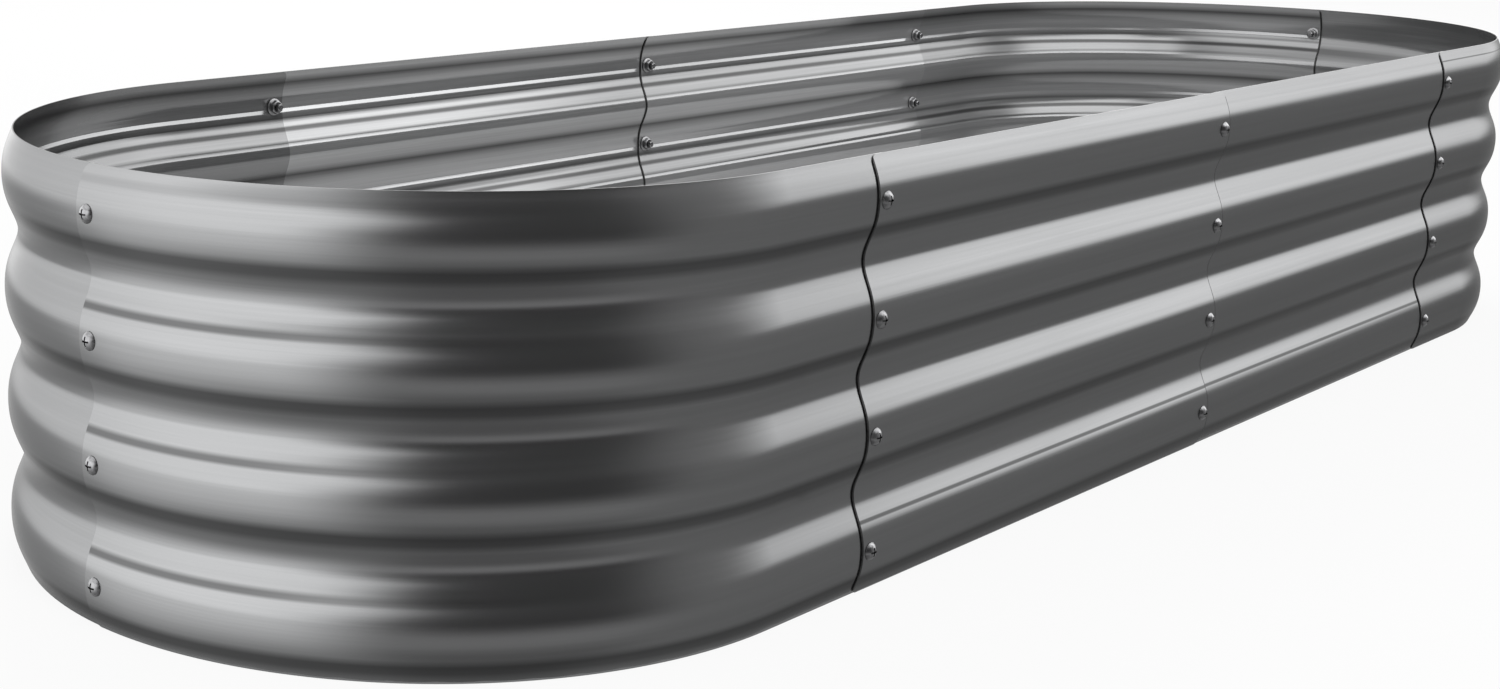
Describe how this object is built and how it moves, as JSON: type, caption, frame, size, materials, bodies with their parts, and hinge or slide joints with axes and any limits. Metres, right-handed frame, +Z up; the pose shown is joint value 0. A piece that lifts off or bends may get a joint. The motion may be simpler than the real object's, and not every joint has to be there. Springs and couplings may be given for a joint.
{
  "type": "raised garden bed",
  "caption": "Oval raised garden bed of lapped corrugated steel sheets, bolted together through their ridges and open at the top and the bottom.",
  "frame": {"origin": "on the ground, in the middle of the bed's outline seen from above", "axes": "+X along the straight sides, +Y across the bed from the front side to the rear side, +Z up"},
  "size_m": [1.8203, 0.6203, 0.3],
  "materials": {
    "sheet": "smooth dark grey coated steel, satin, with soft long reflections along the corrugation",
    "bolt": "zinc-plated steel, lightly polished",
    "nut": "zinc-plated steel, matt"
  },
  "bodies": {
    "root": {"corner_panel_rear_left": "sheet", "corner_panel_front_left": "sheet", "corner_panel_front_right": "sheet", "corner_panel_rear_right": "sheet", "side_panel_front_left": "sheet", "side_panel_front_right": "sheet", "side_panel_rear_right": "sheet", "side_panel_rear_left": "sheet", "bolts_left_end": "bolt", "bolts_front_left": "bolt", "bolts_front_middle": "bolt", "bolts_front_right": "bolt", "bolts_right_end": "bolt", "bolts_rear_right": "bolt", "bolts_rear_middle": "bolt", "bolts_rear_left": "bolt", "nuts_left_end": "nut", "nuts_front_left": "nut", "nuts_front_middle": "nut", "nuts_front_right": "nut", "nuts_right_end": "nut", "nuts_rear_right": "nut", "nuts_rear_middle": "nut", "nuts_rear_left": "nut"}
  },
  "joints": []
}
